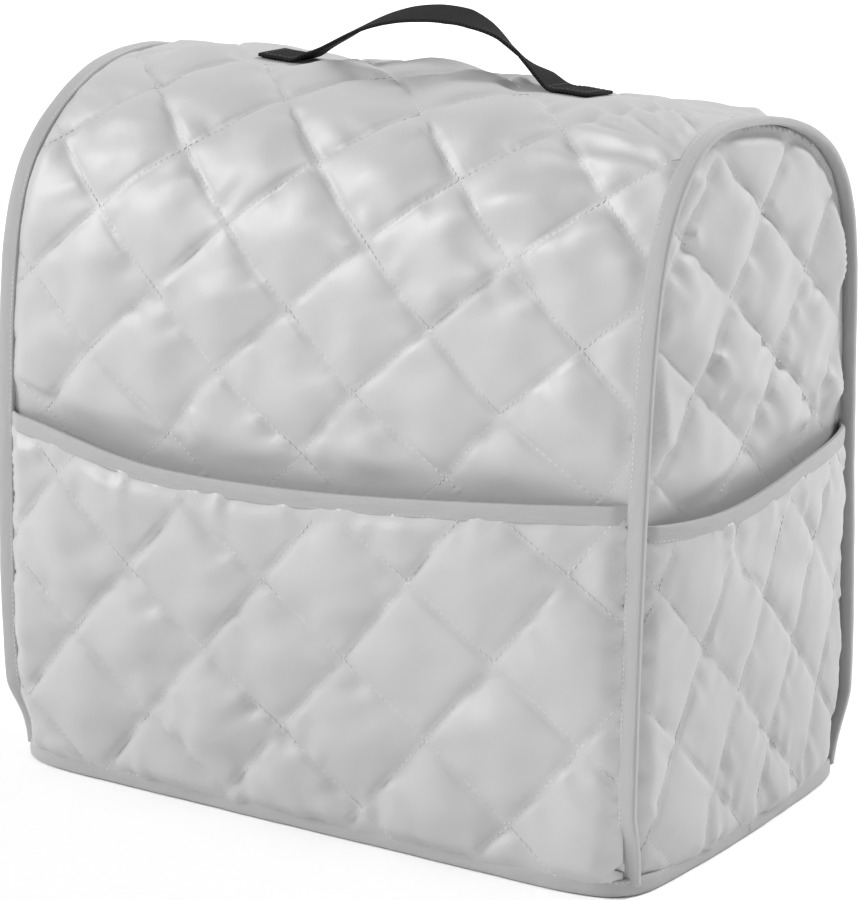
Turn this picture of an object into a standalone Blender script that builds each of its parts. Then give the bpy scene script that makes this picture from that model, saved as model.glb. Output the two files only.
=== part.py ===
"""Quilted fitted cover for a bread maker.

One strip of quilted cloth runs up the front, over the crown and down the back. Two arched ends
are sewn to it with bound seams, a bound hem runs round the bottom, a pocket lies on the front
and another on the right end, and a carrying strap is sewn on top.

Metres, +Z up, the front looks along -Y and the end pocket is at +X. The cover stands on its hem
at z = 0, with the origin under the middle of its box. Each piece of cloth is cut flat first and
then laid on its own curved surface: on the strip, x runs across and s runs up the front from the
hem, over the crown and down the back. On an end, y runs across and z runs up.
"""
import math

import bmesh
import bpy
import numpy as np

MM = 0.001

# The shape
SEAM_X = 180.7 * MM       # half the distance between the two bound seams
HEM_X = 186.3 * MM        # half width of the hem's plan
HEM_Y = 111.7 * MM        # half depth of the hem's plan
HEM_SQUARENESS = 12       # the plan is a superellipse of this power, with round corners
HEM_TAPER = 5.0 * MM      # and its ends are bowed by this much
HEM_REACH = 45 * MM       # the hem's plan draws the cloth in up to this height
HEM_PULL = 2.5 * MM       # the seams come in this much at the hem
BOW_STRIP = 8.0 * MM      # how far the strip bellies out between its seams
BOW_CROWN = 4.5 * MM      # and on its crown, which starts this far from both hems
CROWN_FROM = 280 * MM
CROWN_BLEND = 70 * MM
HUMP = 4.0 * MM           # the crown stands highest near its left end
HUMP_AT = -120 * MM
HUMP_WIDE = 28 * MM
BOW_END = 8.0 * MM        # how far an end bellies out, less and less towards the crown
BOW_END_HALF = 108.7 * MM
BOW_END_FADE = 170 * MM
END_TUCK = 6.5 * MM       # an end's cloth dips behind the seam at the hem
END_TUCK_AT = 100 * MM
END_TUCK_FADE = 12 * MM
TOP = 354 * MM            # height of the seam's crown
CENTRE_X = 2.6 * MM       # the pockets widen the box, so the seams' middle lies off its middle
CENTRE_Y = -2.6 * MM

# Cloth, tape and the air between pieces
QUILT = 2.4 * MM          # thickness of a quilted panel
POCKET = 2.0 * MM         # thickness of a pocket sheet
TAPE = 3.6 * MM           # thickness of a bound edge
FLANGE = 9.4 * MM         # width of a seam's tape, which stands out past the end panel
HEM_TAPE = 8.6 * MM
HEM_THICK = 5.0 * MM      # the hem's tape holds a panel and a pocket
POCKET_TAPE = 9.0 * MM
POCKET_TAPE_THICK = 2.6 * MM
TAPE_ROUND = 0.7 * MM     # how much a tape's middle stands proud of its edges
GAP = 0.5 * MM
TAPE_ROOM = 1.9 * MM      # room between a seam's tape and the cut edge of the end behind it

STRIP_EDGE = SEAM_X - FLANGE / 2 - GAP
END_X = SEAM_X - FLANGE / 2 + GAP + QUILT / 2
END_INSET = TAPE / 2 + TAPE_ROOM
HEM_TOP = HEM_TAPE + GAP

# The seam from the front hem over the crown to the back hem, in millimetres
SEAM = (
    # left y, left z, right y, right z
    (-104, 0, -107, 0),
    (-111, 50, -106, 60),
    (-112, 119, -103, 140),
    (-109, 200, -98, 220),
    (-104, 258, -91, 280),
    (-91, 303, -75, 325),
    (-65, 331, -45, 351),
    (-30, 348, -12, 354),
    (10, 352, 25, 349),
    (45, 345, 55, 339),
    (78, 324, 82, 321),
    (99, 288, 99, 288),
    (105, 245, 103, 245),
    (108, 180, 105, 180),
    (111, 90, 109.5, 90),
    (108, 0, 109, 0),
)
STATIONS = 601

# Top edge of each pocket, in millimetres: across the panel, and up from the hem
FRONT_POCKET_TOP = (
    (-184, 187),
    (-152, 185),
    (-100, 177.5),
    (-61, 175),
    (-10, 176),
    (40, 179),
    (140, 188),
    (184, 192),
)
END_POCKET_TOP = (
    (-112, 183),
    (-77, 179),
    (-35, 177),
    (18, 181),
    (49, 183.5),
    (112, 185),
)
POCKET_CUT = 182 * MM     # height of a pocket as cut, before its top edge sags
SAG_FROM = 25 * MM        # it follows the sag, and hangs away, from these heights on
SLACK_FROM = 30 * MM
FLAT_ABOVE = 22 * MM      # the panel is flat behind a pocket up to this far over its mouth
FLAT_BLEND = 20 * MM
POCKET_OUT = (QUILT + POCKET) / 2 + GAP
POCKET_SET = 1.6 * MM     # the panel behind a pocket lies this much further in
FRONT_SLACK = 9.0 * MM    # how far a pocket's mouth hangs open
END_SLACK = 7.0 * MM

# Quilting, in millimetres: half diagonals of a diamond, how they lean, and one crossing of stitches
QUILTING = {
    # cloth: (step across, its rise, step up, its lean, crossing across, crossing up)
    "strip": (39.3, 0.0, 34.4, 0.0, -9.0, 260.0),
    "right end": (38.0, 0.0, 36.0, -4.5, 12.0, 309.0),
    "left end": (38.0, 0.0, 36.0, 4.5, -12.0, 309.0),
    "front pocket": (41.0, 4.2, 39.2, -4.0, -14.0, 133.0),
    "end pocket": (27.0, 5.0, 40.0, -8.0, 0.0, 126.0),
}
PUFF = 4.4 * MM           # height of a diamond over its stitch lines
PUFF_POWER = 0.6
PUFF_FADE = 16 * MM       # the quilting dies away towards a seam
UNEVEN = 0.2              # share by which the diamonds differ in height
CELLS = 2                 # cells of the mesh in half a diagonal
ARCH_CUTS = 34            # corners of an end's cut outline, and of a pocket's sides
SIDE_CUTS = 8
SEAM_CELLS = 56           # cells along each tape and the strap
HEM_CELLS = 96
FRONT_TAPE_CELLS = 30
END_TAPE_CELLS = 18
STRAP_CELLS = 52
SLIVER = 5 * MM           # mesh points nearer than this to a cut edge join it

# The strap's middle line between its sewn ends, in millimetres
STRAP_ARCH = (
    # x, z, roll in degrees, positive where its top looks to the front
    (-70, 361.5, 0),
    (-62, 365.5, 4),
    (-50, 372, 6),
    (-36, 379, 8),
    (-19, 384.6, 10),
    (-2, 387.2, 10),
    (15, 387, 6),
    (28, 383.6, -6),
    (41, 377.2, -24),
    (52, 370, -28),
    (63, 364, -12),
)
STRAP_LEFT = (-97, -91, -84, -77)
STRAP_RIGHT = (72, 79, 87, 95)
STRAP_Y = 5 * MM
STRAP_WIDE = 25 * MM
STRAP_THICK = 2.0 * MM
STRAP_SEWN = (62 * MM, 98 * MM)   # how far from the middle its sewn ends begin and stop
STRAP_SEAT = 0.8 * MM     # room under a sewn end for the crown's curve
STRAP_ROOM = 11 * MM      # the quilting is pressed flat this far round a sewn end

MATERIALS = {
    # cloth: (colour, roughness)
    "satin": ((0.60, 0.60, 0.62), 0.38),
    "binding": ((0.42, 0.42, 0.43), 0.75),
    "webbing": ((0.012, 0.012, 0.013), 0.8),
}


def smooth(t):
    """0 below 0, 1 above 1, and a soft step between."""
    t = np.clip(t, 0, 1)
    return t * t * (3 - 2 * t)


def evenly(points, count):
    """Points at even distances on a natural cubic spline through the given ones."""
    p = np.array(points, float)
    knots = np.concatenate([[0], np.cumsum(np.sqrt(np.linalg.norm(np.diff(p, axis=0), axis=1)))])
    h = np.diff(knots)[:, None]
    slope = np.diff(p, axis=0) / h
    matrix = np.eye(len(p))
    turn = np.zeros_like(p)
    for i in range(1, len(p) - 1):
        matrix[i, i - 1:i + 2] = h[i - 1, 0], 2 * (h[i - 1, 0] + h[i, 0]), h[i, 0]
        turn[i] = 6 * (slope[i] - slope[i - 1])
    bend = np.linalg.solve(matrix, turn)
    at = np.linspace(0, knots[-1], 8 * count)
    i = np.clip(np.searchsorted(knots, at, side="right") - 1, 0, len(h) - 1)
    after = (at - knots[i])[:, None]
    before = (knots[i + 1] - at)[:, None]
    curve = (bend[i] * before ** 3 + bend[i + 1] * after ** 3) / (6 * h[i])
    curve += (p[i] / h[i] - bend[i] * h[i] / 6) * before
    curve += (p[i + 1] / h[i] - bend[i + 1] * h[i] / 6) * after
    return spaced(curve, count)


def spaced(curve, count):
    """A fine polyline again, as count points at even distances."""
    length = np.concatenate([[0], np.cumsum(np.linalg.norm(np.diff(curve, axis=0), axis=1))])
    at = np.linspace(0, length[-1], count)
    return np.stack([np.interp(at, length, column) for column in curve.T], axis=1)


def girth(line):
    return np.linalg.norm(np.diff(line, axis=0), axis=1).sum()


LEFT_SEAM = evenly([(row[0] * MM, row[1] * MM) for row in SEAM], STATIONS)
RIGHT_SEAM = evenly([(row[2] * MM, row[3] * MM) for row in SEAM], STATIONS)
STRIP_LENGTH = (girth(LEFT_SEAM) + girth(RIGHT_SEAM)) / 2
ALONG = np.linspace(0, STRIP_LENGTH, STATIONS)


def section(x, s):
    """The seams' (y, z) at s, blended across the width."""
    share = ((x / SEAM_X + 1) / 2)[..., None]
    left = np.stack([np.interp(s, ALONG, column) for column in LEFT_SEAM.T], axis=-1)
    right = np.stack([np.interp(s, ALONG, column) for column in RIGHT_SEAM.T], axis=-1)
    return left + (right - left) * share


def hem_outline(across, half_across, half_out):
    """How far out the hem's plan reaches at a place across it."""
    inside = np.clip(np.abs(across / half_across), 0, 0.999) ** HEM_SQUARENESS
    return half_out * (1 - inside) ** (1 / HEM_SQUARENESS)


def strip_point(x, s, out):
    """A place on the strip, out in front of the middle of its cloth."""
    x, s, out = np.broadcast_arrays(x, s, out)
    step = 4 * MM
    run = section(x, np.minimum(s + step, STRIP_LENGTH)) - section(x, np.maximum(s - step, 0))
    from_hem = np.minimum(s, STRIP_LENGTH - s)
    normal = np.stack([-run[..., 1], run[..., 0] * smooth(from_hem / (1.3 * HEM_REACH))], axis=-1)
    normal /= np.linalg.norm(normal, axis=-1, keepdims=True)
    crown = smooth((from_hem - CROWN_FROM) / CROWN_BLEND)
    belly = 1 - (x / SEAM_X) ** 2
    hump = HUMP * np.exp(-((x - HUMP_AT) / HUMP_WIDE) ** 2)
    bow = BOW_STRIP * belly * (1 - crown) + (BOW_CROWN * belly ** 2 + hump) * crown
    place = section(x, s) + normal * bow[..., None]
    near = smooth(1 - from_hem / HEM_REACH)
    x = x * (1 - near * HEM_PULL / SEAM_X)
    hem = np.sign(place[..., 0]) * hem_outline(x, HEM_X - HEM_TAPER, HEM_Y)
    place[..., 0] += (hem - place[..., 0]) * near
    place += normal * out[..., None]
    return np.stack([x, place[..., 0], place[..., 1]], axis=-1)


def seam_point(side, s, across, out):
    """A place on a seam's tape: across from its middle, and out of it."""
    place = strip_point(side * SEAM_X, s, out)
    place[..., 0] += side * across
    return place


def end_point(side, y, z, out):
    """A place on an end, out in front of the middle of its cloth."""
    y, z, out = np.broadcast_arrays(y, z, out)
    x = END_X + BOW_END * np.clip(1 - (y / BOW_END_HALF) ** 2, 0, 1) * smooth((TOP - z) / BOW_END_FADE)
    tuck = END_TUCK * np.exp(-np.clip(END_TUCK_AT - np.abs(y), 0, None) / END_TUCK_FADE)
    hem = hem_outline(y, HEM_Y, HEM_X) - HEM_TAPER * (y / HEM_Y) ** 2 - tuck
    x = x + (hem - x) * smooth(1 - z / HEM_REACH) + out
    return np.stack([side * x, y, z], axis=-1)


def right_end_point(y, z, out):
    return end_point(1, y, z, out)


def left_end_point(y, z, out):
    return end_point(-1, y, z, out)


def pocket_top(table, across):
    """Height of a pocket's top edge."""
    table = np.array(table) * MM
    line = evenly(table, 81)
    return np.interp(across, line[:, 0], line[:, 1])


def sagged(table, across, up):
    """Height on the panel of a place on the pocket as it was cut."""
    return up + (pocket_top(table, across) - POCKET_CUT) * smooth((up - SAG_FROM) / (POCKET_CUT - SAG_FROM))


def slack(across, sides, up, amount):
    """How far a pocket hangs away from its panel, most at the middle of its mouth."""
    low, high = sides
    middle = np.clip(1 - np.abs((2 * across - low - high) / (high - low)) ** 4, 0, 1)
    return amount * middle * np.clip((up - SLACK_FROM) / (POCKET_CUT - SLACK_FROM), 0, 1) ** 1.5


def front_pocket_point(x, up, out):
    out = out + POCKET_OUT + slack(x, FRONT_SIDES, up, FRONT_SLACK)
    return strip_point(x, sagged(FRONT_POCKET_TOP, x, up), out)


def end_pocket_point(y, up, out):
    out = out + POCKET_OUT + slack(y, END_SIDES, up, END_SLACK)
    return end_point(1, y, sagged(END_POCKET_TOP, y, up), out)


def behind_pocket(table, across, up):
    """1 on the panel behind a pocket, 0 above its mouth."""
    return smooth((pocket_top(table, across) + FLAT_ABOVE - up) / FLAT_BLEND)


def strip_body(x, s):
    """Share of the strip's quilting that stands, and its shift.

    The cloth is flat and set in behind the pocket, and pressed flat under the strap's sewn ends.
    """
    behind = behind_pocket(FRONT_POCKET_TOP, x, s)
    beside = np.maximum(np.abs(np.abs(x) - sum(STRAP_SEWN) / 2) - (STRAP_SEWN[1] - STRAP_SEWN[0]) / 2, 0)
    sewn = np.hypot(beside, np.maximum(np.abs(s - crown_line(x)) - STRAP_WIDE / 2, 0))
    pressed = 1 - smooth((sewn - STRAP_ROOM) / STRAP_ROOM)
    return (1 - behind) * (1 - pressed), -POCKET_SET * behind


def right_body(y, z):
    """The right end's own cloth, flat and set in behind its pocket."""
    behind = behind_pocket(END_POCKET_TOP, y, z)
    return 1 - behind, -POCKET_SET * behind


def crown_line(x):
    """Where along the strip the strap's middle line runs."""
    x = np.atleast_1d(x)
    over = ALONG[(ALONG > 0.3 * STRIP_LENGTH) & (ALONG < 0.7 * STRIP_LENGTH)]
    y = section(x[:, None], np.broadcast_to(over, (len(x), len(over))))[..., 0]
    return over[np.argmin(np.abs(y - STRAP_Y), axis=1)]


def arch_outline(side):
    """An end panel's cut outline: the seam, drawn in to lie behind the tape."""
    s = np.linspace(HEM_TOP, STRIP_LENGTH - HEM_TOP, ARCH_CUTS)
    arch = seam_point(side, s, 0, -END_INSET)[:, 1:]
    arch[[0, -1], 1] = HEM_TOP
    return arch


def sides_at(arch, z):
    """Where an end panel's front and back edges are at height z."""
    crown = arch[:, 1].argmax()
    front, back = arch[:crown + 1], arch[crown:][::-1]
    return np.interp(z, front[:, 1], front[:, 0]), np.interp(z, back[:, 1], back[:, 0])


def pocket_outline(sides, levels):
    """A pocket's cut outline: up its front side, over, and down its back side."""
    up = [(low, z) for (low, high), z in zip(sides, levels)]
    down = [(high, z) for (low, high), z in zip(sides, levels)]
    return np.array(up + down[::-1])


def quilt_height(quilt, across, up):
    """Relief of the puffed diamonds, 0 on their stitch lines."""
    step, rise, step_up, lean, at_across, at_up = QUILTING[quilt]
    frame = np.array([[step, lean], [rise, step_up]]) * MM
    i, j = np.linalg.solve(frame, np.stack([across - at_across * MM, up - at_up * MM]))
    p, q = (i + j) / 2, (i - j) / 2
    puff = np.abs(np.sin(math.pi * p) * np.sin(math.pi * q)) ** PUFF_POWER
    row, column = np.floor(p), np.floor(q)
    uneven = UNEVEN * (np.sin(2.9 * row + 1.7 * column) + 0.5 * np.sin(5.1 * column))
    return PUFF * puff * (1 + uneven)


def cut_out(bm, outline):
    """Cut flat cloth to a convex outline, and join points that lie almost on the cut."""
    centre = outline.mean(axis=0)
    for a, b in zip(outline, np.roll(outline, -1, axis=0)):
        away = np.array([b[1] - a[1], a[0] - b[0]])
        if away @ (a - centre) < 0:
            away = -away
        bmesh.ops.bisect_plane(bm, geom=[*bm.verts, *bm.edges, *bm.faces], dist=1e-7,
                               plane_co=(a[0], a[1], 0), plane_no=(away[0], away[1], 0), clear_outer=True)
    rim = {v for v in bm.verts if v.is_boundary}
    corners = {min(rim, key=lambda v: math.hypot(v.co.x - c[0], v.co.y - c[1])) for c in outline[[0, -1]]}
    onto = {}
    for v in rim:
        for edge in v.link_edges:
            other = edge.other_vert(v)
            if other not in rim and other not in onto and edge.calc_length() < SLIVER:
                onto[other] = v
    for edge in [e for e in bm.edges if e.is_boundary]:
        a, b = edge.verts
        if a in corners:
            a, b = b, a
        free = a not in corners and a not in onto and a not in onto.values() and b not in onto
        if free and edge.calc_length() < SLIVER:
            onto[a] = b
    bmesh.ops.weld_verts(bm, targetmap=onto)


def all_puffed(across, up):
    return 1, 0


def quilted_cloth(name, quilt, outline, surface, thickness, material, body=all_puffed):
    """A sheet of quilted cloth, its mesh running along the stitch lines, laid on its surface."""
    step, rise, step_up, lean, at_across, at_up = QUILTING[quilt]
    frame = np.array([[step, lean], [rise, step_up]]) * MM / CELLS
    start = np.array([at_across, at_up]) * MM
    reach = np.linalg.solve(frame, (outline - start).T)
    low = np.floor(reach.min(axis=1)).astype(int) - 1
    cells = np.ceil(reach.max(axis=1)).astype(int) + 1 - low
    bm = bmesh.new()
    bmesh.ops.create_grid(bm, x_segments=int(cells[0]), y_segments=int(cells[1]), size=1)
    ij = {}
    for v in bm.verts:
        ij[v] = tuple(round((v.co[k] + 1) / 2 * cells[k]) + low[k] for k in (0, 1))
        v.co.xy = start + frame @ ij[v]
    for face in list(bm.faces):
        a, b, c, d = sorted(face.verts, key=lambda v: (ij[v][1], ij[v][0]))
        i, j = ij[a]
        along_rising_stitch = (i - j) % (2 * CELLS) == 0 or (i + j) % (2 * CELLS) == 1
        bmesh.utils.face_split(face, *((a, d) if along_rising_stitch else (b, c)))
    cut_out(bm, outline)
    bmesh.ops.triangulate(bm, faces=bm.faces)

    def place(across, up, out):
        share, shift = body(across, up)
        fade = smooth(rim_distance(outline, across, up) / PUFF_FADE)
        return surface(across, up, quilt_height(quilt, across, up) * fade * share + shift + out)
    return solid(name, bm, place, thickness, material)


def rim_distance(outline, across, up):
    """How far each flat point is from the outline's edges."""
    distance = np.full(len(across), 1.0)
    for a, b in zip(outline, np.roll(outline, -1, axis=0)):
        edge = (b - a) / np.linalg.norm(b - a)
        distance = np.minimum(distance, np.abs((across - a[0]) * edge[1] - (up - a[1]) * edge[0]))
    return distance


def band(name, count, place, thickness, material, across=2, closed=False):
    """A tape: place(t, w, out) is its surface for t from 0 to 1 along it and w from -0.5 to 0.5 across."""
    bm = bmesh.new()
    bmesh.ops.create_grid(bm, x_segments=count, y_segments=across, size=0.5)
    if closed:
        start = {round(v.co.y, 4): v for v in bm.verts if v.co.x < -0.4999}
        bmesh.ops.weld_verts(bm, targetmap={v: start[round(v.co.y, 4)] for v in bm.verts if v.co.x > 0.4999})
    return solid(name, bm, lambda t, w, out: place(t + 0.5, w, out), thickness, material)


def solid(name, bm, place, thickness, material):
    """Gives the flat sheet its thickness and lays both faces on their surfaces."""
    grown = bmesh.ops.extrude_face_region(bm, geom=list(bm.faces), use_keep_orig=True)["geom"]
    outer = {v for v in grown if isinstance(v, bmesh.types.BMVert)}
    flat = np.array([v.co[:] for v in bm.verts])
    side = np.array([0.5 if v in outer else -0.5 for v in bm.verts])
    for v, spot in zip(bm.verts, place(flat[:, 0], flat[:, 1], side * thickness)):
        v.co = spot
    bmesh.ops.recalc_face_normals(bm, faces=bm.faces)
    if bm.calc_volume(signed=True) < 0:
        bmesh.ops.reverse_faces(bm, faces=bm.faces)
    mesh = bpy.data.meshes.new(name)
    bm.to_mesh(mesh)
    bm.free()
    mesh.shade_smooth()
    mesh.set_sharp_from_angle(angle=math.radians(50))
    mesh.materials.append(material)
    thing = bpy.data.objects.new(name, mesh)
    thing.parent = bpy.data.objects["bread_maker_cover"]
    bpy.data.collections["Bread maker cover"].objects.link(thing)
    return thing


def rounded(across):
    """A tape's middle stands a little proud of its edges."""
    return TAPE_ROUND * (1 - (2 * across) ** 2)


def seam_tape(side, name, material):
    def place(t, w, out):
        s = HEM_TOP + t * (STRIP_LENGTH - 2 * HEM_TOP)
        return seam_point(side, s, w * FLANGE, rounded(w) + out)
    band(name, SEAM_CELLS, place, TAPE, material)


def hem_tape(material):
    turn = np.linspace(0, 2 * math.pi, 4001)
    power = 2 / HEM_SQUARENESS
    x = HEM_X * np.sign(np.cos(turn)) * np.abs(np.cos(turn)) ** power
    y = HEM_Y * np.sign(np.sin(turn)) * np.abs(np.sin(turn)) ** power
    x *= 1 - HEM_TAPER / HEM_X * (y / HEM_Y) ** 2
    line = spaced(np.stack([x, y], axis=1), HEM_CELLS + 1)[:-1]
    ahead = np.roll(line, -1, axis=0) - np.roll(line, 1, axis=0)
    away = np.stack([ahead[:, 1], -ahead[:, 0]], axis=1) / np.linalg.norm(ahead, axis=1, keepdims=True)

    def place(t, w, out):
        at = np.round(t * HEM_CELLS).astype(int) % HEM_CELLS
        return np.column_stack([line[at] + away[at] * out[:, None], (w + 0.5) * HEM_TAPE])
    band("hem_binding", HEM_CELLS, place, HEM_THICK, material, across=1, closed=True)


def pocket_tape(name, sides, surface, count, material):
    def place(t, w, out):
        up = POCKET_CUT + (w - 0.5) * POCKET_TAPE
        return surface(sides[0] + t * (sides[1] - sides[0]), up, rounded(w) + out)
    band(name, count, place, POCKET_TAPE_THICK, material)


def strap(material):
    """The strap lies sewn flat at both ends and stands up in an uneven arch between."""
    lift = QUILT / 2 + GAP + STRAP_THICK / 2 + STRAP_SEAT
    route, roll_at = [], []
    for x in (*STRAP_LEFT, *STRAP_RIGHT):
        at = np.array([x * MM])
        back, front = (strip_point(at, crown_line(at) + step, lift)[0] for step in (10 * MM, -10 * MM))
        route.append((back + front) / 2)
        roll_at.append((x * MM, math.atan2(back[2] - front[2], back[1] - front[1])))
    for x, z, roll in STRAP_ARCH:
        route.append(np.array([x * MM, STRAP_Y, z * MM]))
        roll_at.append((x * MM, math.radians(roll)))
    line = evenly(sorted(route, key=lambda point: point[0]), STRAP_CELLS + 1)
    roll = np.interp(line[:, 0], *np.array(sorted(roll_at)).T)
    ahead = np.gradient(line, axis=0)
    ahead /= np.linalg.norm(ahead, axis=1, keepdims=True)
    upright = np.cross(ahead, (0, 1, 0))
    wide = np.cos(roll)[:, None] * np.array([0, 1, 0]) + np.sin(roll)[:, None] * upright
    face = np.cross(ahead, wide)

    def place(t, w, out):
        at = np.round(t * STRAP_CELLS).astype(int)
        return line[at] + wide[at] * (w * STRAP_WIDE)[:, None] + face[at] * out[:, None]
    band("handle_strap", STRAP_CELLS, place, STRAP_THICK, material)


def make_material(name, colour, roughness):
    material = bpy.data.materials.new(name)
    material.use_nodes = True
    shader = material.node_tree.nodes["Principled BSDF"]
    shader.inputs["Base Color"].default_value = (*colour, 1)
    shader.inputs["Roughness"].default_value = roughness
    shader.inputs["Metallic"].default_value = 0
    material.diffuse_color = (*colour, 1)
    return material


for old in list(bpy.data.objects):
    bpy.data.objects.remove(old)
home = bpy.data.collections.new("Bread maker cover")
bpy.context.scene.collection.children.link(home)
root = bpy.data.objects.new("bread_maker_cover", None)
root.location = (-CENTRE_X, -CENTRE_Y, 0)
home.objects.link(root)

right_arch = arch_outline(1)
FRONT_SIDES = (-STRIP_EDGE, STRIP_EDGE)
END_SIDES = sides_at(right_arch, POCKET_CUT)
cloths = {name: make_material(name, *look) for name, look in MATERIALS.items()}

strip_cut = np.array([(-STRIP_EDGE, HEM_TOP), (-STRIP_EDGE, STRIP_LENGTH - HEM_TOP),
                      (STRIP_EDGE, STRIP_LENGTH - HEM_TOP), (STRIP_EDGE, HEM_TOP)])
quilted_cloth("body_panel", "strip", strip_cut, strip_point, QUILT, cloths["satin"], strip_body)
quilted_cloth("right_end_panel", "right end", right_arch, right_end_point, QUILT, cloths["satin"], right_body)
quilted_cloth("left_end_panel", "left end", arch_outline(-1), left_end_point, QUILT, cloths["satin"])

pocket_cut_top = POCKET_CUT - POCKET_TAPE - GAP
levels = np.linspace(HEM_TOP, pocket_cut_top, SIDE_CUTS)
front_cut = pocket_outline([FRONT_SIDES] * 2, levels[[0, -1]])
end_cut = pocket_outline([sides_at(right_arch, z) for z in levels], levels)
quilted_cloth("front_pocket", "front pocket", front_cut, front_pocket_point, POCKET, cloths["satin"])
quilted_cloth("end_pocket", "end pocket", end_cut, end_pocket_point, POCKET, cloths["satin"])
pocket_tape("front_pocket_binding", FRONT_SIDES, front_pocket_point, FRONT_TAPE_CELLS, cloths["binding"])
pocket_tape("end_pocket_binding", END_SIDES, end_pocket_point, END_TAPE_CELLS, cloths["binding"])

seam_tape(1, "right_seam_binding", cloths["binding"])
seam_tape(-1, "left_seam_binding", cloths["binding"])
hem_tape(cloths["binding"])
strap(cloths["webbing"])
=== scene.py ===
# %% [markdown]
# # A quilted cover for a bread maker
#
# The real cover is sewn from silver-grey satin, quilted in diamonds over a thin layer of wadding.
# One strip runs up the front, over the crown and down the back. Two arched ends close it, a tape
# binds every seam, and a black webbing strap is sewn on top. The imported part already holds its
# true size, so each piece below is laid on the same surfaces, only with far finer cloth.

import math

import bmesh
import bpy
import numpy as np
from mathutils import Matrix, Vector


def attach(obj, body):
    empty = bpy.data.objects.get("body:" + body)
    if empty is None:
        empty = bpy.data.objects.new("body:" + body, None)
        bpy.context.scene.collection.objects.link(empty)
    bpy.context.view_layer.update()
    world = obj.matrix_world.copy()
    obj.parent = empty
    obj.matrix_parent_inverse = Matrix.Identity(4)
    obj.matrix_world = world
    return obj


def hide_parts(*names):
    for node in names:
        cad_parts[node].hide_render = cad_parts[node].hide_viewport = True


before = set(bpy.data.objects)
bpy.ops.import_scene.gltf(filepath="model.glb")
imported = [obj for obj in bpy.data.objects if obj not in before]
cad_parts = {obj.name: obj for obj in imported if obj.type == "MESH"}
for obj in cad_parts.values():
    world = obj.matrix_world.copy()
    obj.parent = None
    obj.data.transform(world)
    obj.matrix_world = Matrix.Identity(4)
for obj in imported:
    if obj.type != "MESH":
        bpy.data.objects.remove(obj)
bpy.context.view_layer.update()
MM = 0.001
ROOT = "root"
CENTRE = np.array([-2.6, 2.6, 0]) * MM      # the seams' middle, in the row frame

# %% [markdown]
# ## The shape under the cloth
#
# A cover like this hangs between its two bound seams, so its shape follows from where they run.
# It could be sculpted freely, but two measured seam lines and a rule for how far the cloth
# bellies out between them keep every later piece, down to single stitches, on one surface.

# %% Seam lines
SEAM = (
    # left y, left z, right y, right z, in millimetres, from the front hem over the crown
    (-104, 0, -107, 0),
    (-111, 50, -106, 60),
    (-112, 119, -103, 140),
    (-109, 200, -98, 220),
    (-104, 258, -91, 280),
    (-91, 303, -75, 325),
    (-65, 331, -45, 351),
    (-30, 348, -12, 354),
    (10, 352, 25, 349),
    (45, 345, 55, 339),
    (78, 324, 82, 321),
    (99, 288, 99, 288),
    (105, 245, 103, 245),
    (108, 180, 105, 180),
    (111, 90, 109.5, 90),
    (108, 0, 109, 0),
)
SEAM_X = 180.7 * MM       # half the distance between the two seams
STATIONS = 601


def smooth(t):
    """0 below 0, 1 above 1, and a soft step between."""
    t = np.clip(t, 0, 1)
    return t * t * (3 - 2 * t)


def spaced(curve, count):
    """A fine polyline again, as count points at even distances."""
    length = np.concatenate([[0], np.cumsum(np.linalg.norm(np.diff(curve, axis=0), axis=1))])
    at = np.linspace(0, length[-1], count)
    return np.stack([np.interp(at, length, column) for column in curve.T], axis=1)


def evenly(points, count):
    """Points at even distances on a natural cubic spline through the given ones."""
    p = np.array(points, float)
    knots = np.concatenate([[0], np.cumsum(np.sqrt(np.linalg.norm(np.diff(p, axis=0), axis=1)))])
    h = np.diff(knots)[:, None]
    slope = np.diff(p, axis=0) / h
    matrix = np.eye(len(p))
    turn = np.zeros_like(p)
    for i in range(1, len(p) - 1):
        matrix[i, i - 1:i + 2] = h[i - 1, 0], 2 * (h[i - 1, 0] + h[i, 0]), h[i, 0]
        turn[i] = 6 * (slope[i] - slope[i - 1])
    bend = np.linalg.solve(matrix, turn)
    at = np.linspace(0, knots[-1], 8 * count)
    i = np.clip(np.searchsorted(knots, at, side="right") - 1, 0, len(h) - 1)
    after = (at - knots[i])[:, None]
    before = (knots[i + 1] - at)[:, None]
    curve = (bend[i] * before ** 3 + bend[i + 1] * after ** 3) / (6 * h[i])
    curve += (p[i] / h[i] - bend[i] * h[i] / 6) * before
    curve += (p[i + 1] / h[i] - bend[i + 1] * h[i] / 6) * after
    return spaced(curve, count)


def girth(line):
    return np.linalg.norm(np.diff(line, axis=0), axis=1).sum()


LEFT_SEAM = evenly([(row[0] * MM, row[1] * MM) for row in SEAM], STATIONS)
RIGHT_SEAM = evenly([(row[2] * MM, row[3] * MM) for row in SEAM], STATIONS)
STRIP_LENGTH = (girth(LEFT_SEAM) + girth(RIGHT_SEAM)) / 2
ALONG = np.linspace(0, STRIP_LENGTH, STATIONS)
print("the strip is", round(STRIP_LENGTH / MM), "mm long from hem to hem")

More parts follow.
